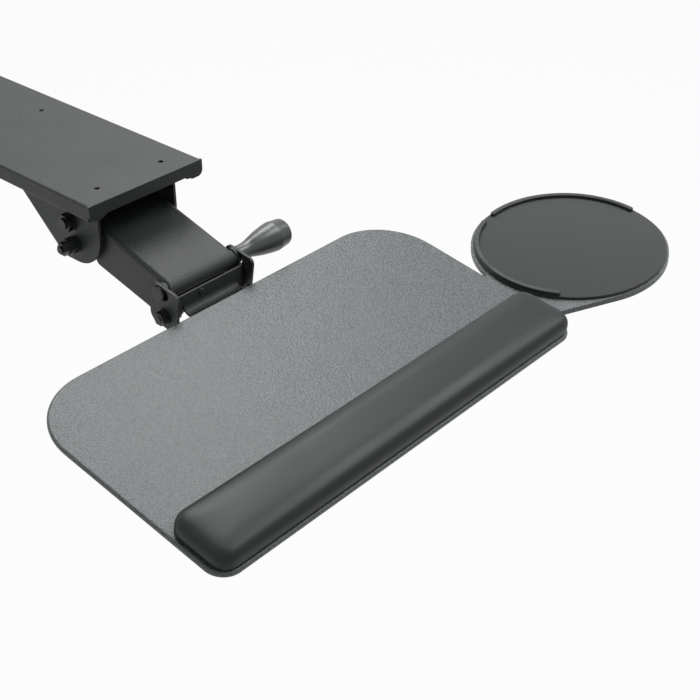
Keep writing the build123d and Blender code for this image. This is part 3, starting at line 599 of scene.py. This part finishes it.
@dataclass(frozen=True)
class PadCloth(Finish):
    """Tight knitted cloth over thin foam.

    Attributes:
        threads: Threads per metre.
        depth: Height of a thread, in metres.
        wander: How far a thread strays from straight.
        fluff: Tufts of fluff per metre.
        fluff_share: Share of the fluff in the height.
        nap: Weight of the light that the nap catches.
        nap_softness: How widely the nap spreads that light.
    """

    threads: float = 1100.0
    depth: float = 0.12 * MM
    wander: float = 1.2
    fluff: float = 650.0
    fluff_share: float = 0.4
    nap: float = 0.25
    nap_softness: float = 0.5
    mottle = Mottle(0.15, 0.72, 0.75, 1.3)
    relief = 0.5

    def paint(self, shader: Shader) -> None:
        """Two crossed sets of threads with a little fluff."""
        waves = []
        for direction in ("X", "Y"):
            made = shader.node(
                "ShaderNodeTexWave",
                {"wave_type": "BANDS", "bands_direction": direction},
                {
                    "Vector": shader.place(),
                    "Scale": self.threads / math.tau,
                    "Distortion": self.wander,
                },
            )
            waves.append(Value(shader, made.outputs["Fac"]))
        weave = waves[0] * waves[1]
        fluff = shader.noise(self.fluff, detail=3.0, roughness=0.65)
        height = weave * (1 - self.fluff_share) + fluff * self.fluff_share
        shader.surface(
            {
                "Base Color": self.tones(shader, height),
                "Roughness": self.roughness,
                "Normal": shader.bump(height, self.depth, self.relief),
                "Sheen Weight": self.nap,
                "Sheen Roughness": self.nap_softness,
            }
        )


FINISHES: dict[Slot, Finish] = {
    Slot.POWDER_COAT: PowderCoat((0.0185, 0.0215, 0.022), 0.45),
    Slot.BLACK_STEEL: DarkSteel((0.016, 0.018, 0.019), 0.34),
    Slot.ZINC_STEEL: ZincSteel((0.52, 0.53, 0.54), 0.36),
    Slot.GLIDE_PLASTIC: Moulded((0.06, 0.062, 0.065), 0.5),
    Slot.RUBBER: Moulded((0.018, 0.018, 0.018), 0.78, grain=900.0),
    Slot.KNOB_PLASTIC: Moulded((0.06, 0.066, 0.067), 0.3, grain=900.0, depth=0.05 * MM),
    Slot.BOARD_LAMINATE: PressedBoard((0.084, 0.102, 0.105), 0.4),
    Slot.REST_PLASTIC: Moulded((0.02, 0.022, 0.022), 0.45),
    Slot.REST_SKIN: SoftSkin((0.0085, 0.012, 0.0124), 0.42),
    Slot.PLATFORM_LAMINATE: PressedBoard((0.1, 0.118, 0.121), 0.4),
    Slot.PAD_FABRIC: PadCloth((0.032, 0.0355, 0.0353), 0.85),
    Slot.LIP_PLASTIC: Moulded((0.009, 0.0115, 0.0116), 0.55, grain=800.0),
}


class PaintShop:
    """Makes each finish's material once and puts it on pieces."""

    def __init__(self, record: Mapping[str, Any]) -> None:
        """Reads which slot each node has.

        Args:
            record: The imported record.
        """
        self.slot_of = {row["node"]: Slot(row["material_slot"]) for row in record["subparts"]}
        self.materials: dict[Slot, bpy.types.Material] = {}

    def material(self, slot: Slot) -> bpy.types.Material:
        """Gives a slot's material.

        Args:
            slot: The slot.

        Returns:
            Its material, made at the first call.
        """
        if slot not in self.materials:
            shader = Shader(slot.value)
            FINISHES[slot].paint(shader)
            self.materials[slot] = shader.material
        return self.materials[slot]

    def coat(self, piece: bpy.types.Object, slot: Slot) -> None:
        """Gives a piece one finish all over.

        Args:
            piece: The piece.
            slot: The slot whose finish it gets.
        """
        if not piece.material_slots:
            piece.data.materials.append(None)
        for place in piece.material_slots:
            place.material = self.material(slot)


# Modelling


@dataclass(frozen=True)
class Seat:
    """Place and directions of a piece that is modelled flat and then set down.

    Attributes:
        origin: Point that the piece's own origin goes to.
        right: The piece's own x direction.
        normal: The piece's own z direction.
    """

    origin: Vector
    right: Vector
    normal: Vector

    def matrix(self) -> Matrix:
        """Matrix from the piece's own directions to the frame."""
        back = self.normal.cross(self.right).normalized()
        turn = Matrix((self.right, back, self.normal)).transposed()
        return Matrix.Translation(self.origin) @ turn.to_4x4()


class Bench:
    """Models new pieces with the mesh operators, as by hand."""

    @staticmethod
    def clear() -> None:
        """Selects nothing."""
        bpy.ops.object.select_all(action="DESELECT")

    @classmethod
    def block(cls, name: str, size: tuple[float, float, float]) -> bpy.types.Object:
        """Adds a block that stands on the origin.

        Args:
            name: The piece's name.
            size: Width, depth and height.

        Returns:
            The piece.
        """
        cls.clear()
        bpy.ops.mesh.primitive_cube_add(size=1.0, location=(0.0, 0.0, size[2] / 2))
        return cls._settle(name, size)

    @classmethod
    def disc(cls, name: str, radius: float, height: float, sides: int) -> bpy.types.Object:
        """Adds a disc that stands on the origin.

        Args:
            name: The piece's name.
            radius: Its radius.
            height: Its height.
            sides: Number of sides.

        Returns:
            The piece.
        """
        cls.clear()
        bpy.ops.mesh.primitive_cylinder_add(
            vertices=sides, radius=radius, depth=height, location=(0.0, 0.0, height / 2)
        )
        return cls._settle(name, (1.0, 1.0, 1.0))

    @staticmethod
    def _settle(name: str, size: tuple[float, float, float]) -> bpy.types.Object:
        """Names the new primitive and applies its size and place.

        Args:
            name: The piece's name.
            size: Scale along its three directions.

        Returns:
            The piece.
        """
        piece = bpy.context.object
        piece.name = name
        piece.data.name = name
        piece.scale = size
        bpy.ops.object.transform_apply(location=True, rotation=True, scale=True)
        return piece

    @staticmethod
    def _unselect(mesh: bpy.types.Mesh) -> None:
        """Selects nothing in a mesh."""
        for group in (mesh.vertices, mesh.edges, mesh.polygons):
            group.foreach_set("select", np.zeros(len(group), bool))

    @staticmethod
    def _open(piece: bpy.types.Object, kinds: tuple[bool, bool, bool]) -> None:
        """Opens a piece in edit mode.

        Args:
            piece: The piece.
            kinds: Whether points, edges and faces are what is selected.
        """
        bpy.context.view_layer.objects.active = piece
        bpy.context.tool_settings.mesh_select_mode = kinds
        bpy.ops.object.mode_set(mode="EDIT")

    @classmethod
    def pick_edges(cls, piece: bpy.types.Object, test: Callable[[Vector, Vector], bool]) -> None:
        """Opens a piece in edit mode with some of its edges selected.

        Args:
            piece: The piece.
            test: Says from an edge's two ends whether it is selected.
        """
        mesh = piece.data
        cls._unselect(mesh)
        for edge in mesh.edges:
            first, last = (mesh.vertices[i].co for i in edge.vertices)
            edge.select = test(first, last)
        cls._open(piece, (False, True, False))

    @classmethod
    def pick_top(cls, piece: bpy.types.Object) -> None:
        """Opens a piece in edit mode with its level upper faces selected.

        Args:
            piece: The piece.
        """
        cls._unselect(piece.data)
        for face in piece.data.polygons:
            face.select = face.normal.z > LEVEL
        cls._open(piece, (False, False, True))

    @classmethod
    def round_edges(
        cls,
        piece: bpy.types.Object,
        test: Callable[[Vector, Vector], bool],
        radius: float,
        segments: int,
    ) -> None:
        """Rounds some of a piece's edges.

        Args:
            piece: The piece.
            test: Says from an edge's two ends whether it is rounded.
            radius: The rounding's radius.
            segments: Number of faces across the rounding.
        """
        cls.pick_edges(piece, test)
        bpy.ops.mesh.bevel(offset=radius, segments=segments, affect="EDGES")
        cls.close()

    @staticmethod
    def close() -> None:
        """Leaves edit mode."""
        bpy.ops.object.mode_set(mode="OBJECT")

    @staticmethod
    def apply(piece: bpy.types.Object, kind: str, settings: Mapping[str, Any]) -> None:
        """Adds a modifier and applies it.

        Args:
            piece: The piece.
            kind: Blender's type of the modifier.
            settings: Options by name.
        """
        modifier = piece.modifiers.new(kind.lower(), kind)
        for name, value in settings.items():
            setattr(modifier, name, value)
        bpy.context.view_layer.objects.active = piece
        bpy.ops.object.modifier_apply(modifier=modifier.name)

    @staticmethod
    def set_down(piece: bpy.types.Object, seat: Seat) -> None:
        """Puts a piece's place into its mesh, with its object at the origin.

        Args:
            piece: The piece.
            seat: Where it goes.
        """
        piece.data.transform(seat.matrix())
        piece.data.update()

    @classmethod
    def smooth(cls, piece: bpy.types.Object, angle: float = math.radians(40)) -> None:
        """Shades a piece smooth, apart from its sharp edges.

        Args:
            piece: The piece.
            angle: Edges sharper than this stay sharp.
        """
        cls.clear()
        piece.select_set(True)
        bpy.context.view_layer.objects.active = piece
        bpy.ops.object.shade_smooth_by_angle(angle=angle)


@dataclass(frozen=True)
class Cushioning:
    """Swells a padded piece by a cloth simulation with air pressure inside.

    Attributes:
        voxel: Size of the mesh that is simulated, in metres.
        pressure: Air pressure.
        frames: Steps of the simulation.
        cap: Farthest that a point may move, in metres.
        smoothing: Rounds of smoothing before the simulation.
        smooth_share: How far each round moves a point towards its neighbours.
    """

    voxel: float = 2.4 * MM
    pressure: float = 0.6
    frames: int = 20
    cap: float = 1.5 * MM
    smoothing: int = 4
    smooth_share: float = 0.5

    def swell(self, piece: bpy.types.Object, held: Callable[[Vector], bool]) -> None:
        """Simulates the piece and keeps the result.

        Args:
            piece: The piece, stood on the origin.
            held: Says which points stay where they are.
        """
        Bench.apply(piece, "REMESH", {"mode": "VOXEL", "voxel_size": self.voxel})
        mesh = piece.data
        group = piece.vertex_groups.new(name="held")
        group.add([v.index for v in mesh.vertices if held(v.co)], 1.0, "REPLACE")
        rounds = {
            "vertex_group": group.name,
            "invert_vertex_group": True,
            "factor": self.smooth_share,
            "iterations": self.smoothing,
        }
        Bench.apply(piece, "SMOOTH", rounds)
        start = self._points(mesh)
        cloth = piece.modifiers.new("swell", "CLOTH")
        cloth.settings.vertex_group_mass = group.name
        cloth.settings.use_pressure = True
        cloth.settings.uniform_pressure_force = self.pressure
        cloth.settings.effector_weights.gravity = 0.0
        cloth.point_cache.frame_end = self.frames
        for step in range(1, self.frames + 1):
            bpy.context.scene.frame_set(step)
        bpy.context.view_layer.objects.active = piece
        bpy.ops.object.modifier_apply(modifier=cloth.name)
        bpy.context.scene.frame_set(1)
        moved = self._points(piece.data) - start
        length = np.linalg.norm(moved, axis=1, keepdims=True)
        share = self.cap * np.tanh(length / self.cap) / np.maximum(length, STILL)
        piece.data.vertices.foreach_set("co", (start + moved * share).ravel())
        piece.data.update()
        piece.vertex_groups.clear()

    @staticmethod
    def _points(mesh: bpy.types.Mesh) -> np.ndarray:
        """Points of a mesh as rows."""
        points = np.empty(len(mesh.vertices) * 3)
        mesh.vertices.foreach_get("co", points)
        return points.reshape(-1, 3)


# Sub-assemblies


@dataclass
class SubAssembly:
    """One moving group of the tray, whose CAD nodes get their finishes.

    Attributes:
        shop: Where finishes come from.
        bodies: Bodies whose nodes it dresses.
    """

    frame: dict[str, Any]
    shop: PaintShop
    bodies: ClassVar[tuple[str, ...]] = ()

    def build(self) -> list[bpy.types.Object]:
        """Models the group's new pieces, if it has any."""
        return []

    def dress(self) -> None:
        """Gives every CAD node of the group its finish."""
        grouped = self.frame["record"]["behaviour"]["bodies"]
        for body in self.bodies:
            for name in grouped[body]:
                self.shop.coat(self.frame["nodes"][name], self.shop.slot_of[name])


class TrackAssembly(SubAssembly):
    """Track, front end plate and bumpers."""

    bodies = ("track_assembly",)


class SlidingCarriage(SubAssembly):
    """Carriage plate, glides, spacer and spindle."""

    bodies = ("carriage",)


class ArmLinkage(SubAssembly):
    """Swivel bracket and the parallelogram: arm cover, lower link, level link and its clamp."""

    bodies = ("bracket", "arm", "lower_link", "level_link", "knob")


@dataclass
class KeyboardTray(SubAssembly):
    """Head bracket, board and palm rest, with the cushion modelled here.

    Attributes:
        tilt: Angle of the board in degrees, higher behind.
        cushion_width: Width of the cushion.
        cushion_depth: Depth of the cushion.
        cushion_height: Height over its base plate, at the crown.
        crown: How much higher the middle is than the edge.
        corner: Radius of its corners from above.
        shoulder: Radius of its upper edge.
        swell: How much smaller it starts than it ends.
        lift: How much the air raises its top.
        upright: Height up to which its sides are held upright.
        skirt: How far its edge comes down round the base plate.
        base_wall: Thickness of the base plate.
        base_inset: How far the base plate stays behind the cushion's sides.
        base_gap: Room round the base plate in the cushion's pocket.
        crown_steps: Shares of the crown that each ring of the top rises by.
        corner_faces: Number of faces round a corner.
        shoulder_faces: Number of faces across the upper edge's rounding.
        sharp: Edges sharper than this stay sharp, in degrees.
        cushioning: How air swells it.
    """

    bodies: ClassVar[tuple[str, ...]] = ("tray",)
    tilt: float = 9.0
    cushion_width: float = 494 * MM
    cushion_depth: float = 70 * MM
    cushion_height: float = 19 * MM
    crown: float = 1.6 * MM
    corner: float = 17 * MM
    shoulder: float = 10.5 * MM
    swell: float = 0.4 * MM
    lift: float = 0.8 * MM
    upright: float = 6.0 * MM
    skirt: float = 2.2 * MM
    base_wall: float = 2.4 * MM
    base_inset: float = 1.6 * MM
    base_gap: float = 0.2 * MM
    crown_steps: tuple[float, ...] = (0.5, 0.3)
    corner_faces: int = 10
    shoulder_faces: int = 8
    sharp: float = 60.0
    cushioning: Cushioning = field(default_factory=Cushioning)

    def build(self) -> list[bpy.types.Object]:
        """Models the palm rest's cushion.

        Returns:
            The cushion.
        """
        width = self.cushion_width - 2 * self.swell
        depth = self.cushion_depth - 2 * self.swell
        height = self.cushion_height - self.crown - self.lift + self.skirt
        cushion = Bench.block("palm_rest_cushion", (width, depth, height))
        self.round_corners(cushion, height, self.corner - self.swell)
        Bench.round_edges(
            cushion,
            lambda a, b: min(a.z, b.z) > height - self.swell,
            self.shoulder,
            self.shoulder_faces,
        )
        Bench.pick_top(cushion)
        for share in self.crown_steps:
            bpy.ops.mesh.extrude_region_move(
                TRANSFORM_OT_translate={"value": (0.0, 0.0, share * self.crown)}
            )
            bpy.ops.transform.resize(
                value=(1 - self.shoulder / width, 1 - self.shoulder / depth, 1.0),
                center_override=(0.0, 0.0, height),
            )
        Bench.close()
        self.cushioning.swell(cushion, lambda point: point.z < self.upright)
        Bench.apply(cushion, "SUBSURF", {"levels": 1, "render_levels": 1})
        self.cut_pocket(cushion)
        Bench.smooth(cushion, math.radians(self.sharp))
        Bench.set_down(cushion, self.seat())
        self.shop.coat(cushion, Slot.REST_SKIN)
        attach(cushion, "tray")
        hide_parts("palm_rest_pad")
        return [cushion]

    def round_corners(self, block: bpy.types.Object, height: float, radius: float) -> None:
        """Rounds a block's four upright edges.

        Args:
            block: The block.
            height: The block's height.
            radius: The corners' radius from above.
        """
        Bench.round_edges(
            block, lambda a, b: abs(a.z - b.z) > height / 2, radius, self.corner_faces
        )

    def cut_pocket(self, cushion: bpy.types.Object) -> None:
        """Cuts the pocket that takes the base plate out of the cushion's underside.

        Args:
            cushion: The cushion, stood on the origin.
        """
        inset = self.base_inset - self.base_gap
        width = self.cushion_width - 2 * inset
        depth = self.cushion_depth - 2 * inset
        height = 2 * (self.skirt + self.base_gap)
        pocket = Bench.block("pocket", (width, depth, height))
        self.round_corners(pocket, height, self.corner - inset)
        pocket.data.transform(Matrix.Translation((0.0, 0.0, -height / 2)))
        Bench.clear()
        Bench.apply(cushion, "BOOLEAN", {"object": pocket, "operation": "DIFFERENCE"})
        bpy.data.objects.remove(pocket)

    def seat(self) -> Seat:
        """Middle of the cushion's underside, in the board's slope."""
        low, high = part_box("palm_rest_base")
        slope = math.radians(self.tilt)
        normal = Vector((0.0, -math.sin(slope), math.cos(slope)))
        middle = (low + high) / 2
        rise = self.base_wall / 2 - self.skirt
        return Seat(middle + normal * rise, Vector((1.0, 0.0, 0.0)), normal)


@dataclass
class MousePlatform(SubAssembly):
    """Round platform with its hinge, lips and the cloth-faced pad modelled here.

    Attributes:
        pad_radius: Radius of the pad.
        pad_height: Thickness of the pad.
        pad_round: Radius of the pad's upper edge.
        sides: Number of sides of the pad.
        edge_faces: Number of faces across the upper edge's rounding.
    """

    bodies: ClassVar[tuple[str, ...]] = ("mouse_hinge", "mouse_platform")
    pad_radius: float = 108 * MM
    pad_height: float = 3 * MM
    pad_round: float = 0.8 * MM
    sides: int = 192
    edge_faces: int = 4

    def build(self) -> list[bpy.types.Object]:
        """Models the mouse pad.

        Returns:
            The pad.
        """
        pad = Bench.disc("mouse_pad_cloth", self.pad_radius, self.pad_height, self.sides)
        Bench.round_edges(
            pad,
            lambda a, b: min(a.z, b.z) > self.pad_height / 2,
            self.pad_round,
            self.edge_faces,
        )
        Bench.smooth(pad)
        Bench.set_down(pad, self.seat())
        self.shop.coat(pad, Slot.PAD_FABRIC)
        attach(pad, "mouse_platform")
        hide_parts("mouse_pad")
        return [pad]

    def seat(self) -> Seat:
        """Middle of the platform's top face, under the pad."""
        swivel = next(j for j in self.frame["joints"] if j["name"] == "mouse_swivel")
        normal = Vector(swivel["axis"]).normalized()
        low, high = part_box("mouse_pad")
        right = Vector((0.0, 1.0, 0.0)).cross(normal).normalized()
        return Seat((low + high) / 2 - normal * self.pad_height / 2, right, normal)


# Studio


@dataclass(frozen=True)
class Softbox:
    """One square soft lamp.

    Attributes:
        name: The lamp's name.
        bearing: Its direction from +Y towards +X, in degrees.
        height: Its angle above level, in degrees.
        size: Width of the lamp.
        power: Its power in watts.
    """

    name: str
    bearing: float
    height: float
    size: float
    power: float

    def hang(self, target: Vector, distance: float) -> None:
        """Hangs the lamp, facing a point.

        Args:
            target: Point that it faces.
            distance: How far from that point it hangs.
        """
        light = bpy.data.lights.new(self.name, "AREA")
        light.size = self.size
        light.energy = self.power
        lamp = bpy.data.objects.new(self.name, light)
        away = direction(self.bearing, self.height)
        lamp.location = target + away * distance
        lamp.rotation_euler = (-away).to_track_quat("-Z", "Y").to_euler()
        bpy.context.scene.collection.objects.link(lamp)


def direction(bearing: float, height: float) -> Vector:
    """Unit direction from its bearing and its height above level.

    Args:
        bearing: Angle from +Y towards +X, in degrees.
        height: Angle above level, in degrees.

    Returns:
        The direction.
    """
    turn, rise = math.radians(bearing), math.radians(height)
    level = math.cos(rise)
    return Vector((level * math.sin(turn), level * math.cos(turn), math.sin(rise)))


@dataclass(frozen=True)
class Studio:
    """Camera, floor and light.

    Attributes:
        eye: Place of the camera.
        bearing: Direction of view from +Y towards +X, in degrees.
        dip: Angle of view below level, in degrees.
        focal_pixels: Focal length in pixels of the photograph.
        sensor: Width of the sensor, in millimetres.
        lit_point: Point that the lamps face.
        lamp_distance: How far away they hang.
        floor_drop: Depth of the floor under the desk's lower face.
        floor_size: Width of the floor.
        floor_colour: Colour that the floor throws back on the object.
        floor_roughness: Roughness of the floor.
        floor_glow: How white the floor is seen, which leaves the rest for its shadow.
        even_light: Strength of the light from all round.
        lamps: One lamp high behind, one at the right and a weak one at the left.
    """

    eye: Vector = field(default_factory=lambda: Vector((-0.753155, -1.051592, 0.581738)))
    bearing: float = 48.2
    dip: float = 33.286
    focal_pixels: float = 1311.12
    sensor: float = 36.0
    lit_point: Vector = field(default_factory=lambda: Vector((0.05, -0.3, -0.1)))
    lamp_distance: float = 2.2
    floor_drop: float = 0.72
    floor_size: float = 90.0
    floor_colour: Colour = (0.6, 0.6, 0.6)
    floor_roughness: float = 0.9
    floor_glow: float = 0.95
    even_light: float = 0.2
    lamps: tuple[Softbox, ...] = (
        Softbox("back_softbox", bearing=40.0, height=53.0, size=1.0, power=28.0),
        Softbox("right_softbox", bearing=116.0, height=52.0, size=1.1, power=26.0),
        Softbox("left_softbox", bearing=-70.0, height=40.0, size=1.0, power=1.2),
    )

    def camera(self) -> None:
        """Sets the camera where the photograph was taken from."""
        lens = bpy.data.cameras.new("photo_camera")
        lens.sensor_width = self.sensor
        lens.lens = self.focal_pixels * self.sensor / IMAGE_WIDTH
        lens.dof.use_dof = False
        camera = bpy.data.objects.new("photo_camera", lens)
        bpy.context.scene.collection.objects.link(camera)
        camera.location = self.eye
        view = direction(self.bearing, -self.dip)
        camera.rotation_euler = view.to_track_quat("-Z", "Y").to_euler()
        bpy.context.scene.camera = camera

    def floor(self) -> None:
        """Lays a plain white floor that keeps a faint shadow."""
        Bench.clear()
        bpy.ops.mesh.primitive_plane_add(
            size=self.floor_size, location=(0.0, 0.0, -self.floor_drop)
        )
        floor = bpy.context.object
        floor.name = "floor"
        shader = Shader("floor_white")
        sockets = {
            "Base Color": self.floor_colour,
            "Roughness": self.floor_roughness,
            "Specular IOR Level": 0.0,
        }
        paint = shader.node("ShaderNodeBsdfPrincipled", None, sockets)
        glow = shader.node("ShaderNodeEmission", None, {"Color": WHITE, "Strength": 1.0})
        seen = shader.seen_straight() * self.floor_glow
        layers = {0: seen, 1: paint.outputs[0], 2: glow.outputs[0]}
        mixed = shader.node("ShaderNodeMixShader", None, layers)
        shader.node("ShaderNodeOutputMaterial", None, {"Surface": mixed.outputs[0]})
        floor.data.materials.append(shader.material)

    def world(self) -> None:
        """Lights the studio evenly and shows white behind the object."""
        world = bpy.data.worlds.new("studio")
        bpy.context.scene.world = world
        nodes = Nodes(world)
        strength = nodes.node(
            "ShaderNodeMapRange",
            {"clamp": True},
            {0: nodes.seen_straight(), 3: self.even_light, 4: 1.0},
        )
        sockets = {"Color": WHITE, "Strength": strength.outputs[0]}
        background = nodes.node("ShaderNodeBackground", None, sockets)
        nodes.node("ShaderNodeOutputWorld", None, {"Surface": background.outputs[0]})

    def light(self) -> None:
        """Hangs the lamps."""
        for lamp in self.lamps:
            lamp.hang(self.lit_point, self.lamp_distance)


def main() -> None:
    """Builds the studio and then each sub-assembly, and notes the sizes."""
    logging.basicConfig(level=logging.INFO, format="%(name)s: %(message)s")
    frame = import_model()
    bpy.context.scene.view_settings.view_transform = "Standard"
    studio = Studio()
    studio.camera()
    studio.floor()
    studio.world()
    studio.light()
    shop = PaintShop(frame["record"])
    for kind in (TrackAssembly, SlidingCarriage, ArmLinkage, KeyboardTray, MousePlatform):
        assembly = kind(frame, shop)
        assembly.dress()
        for piece in assembly.build():
            log.info("%s: %d faces", piece.name, len(piece.data.polygons))


if __name__ == "__main__":
    main()
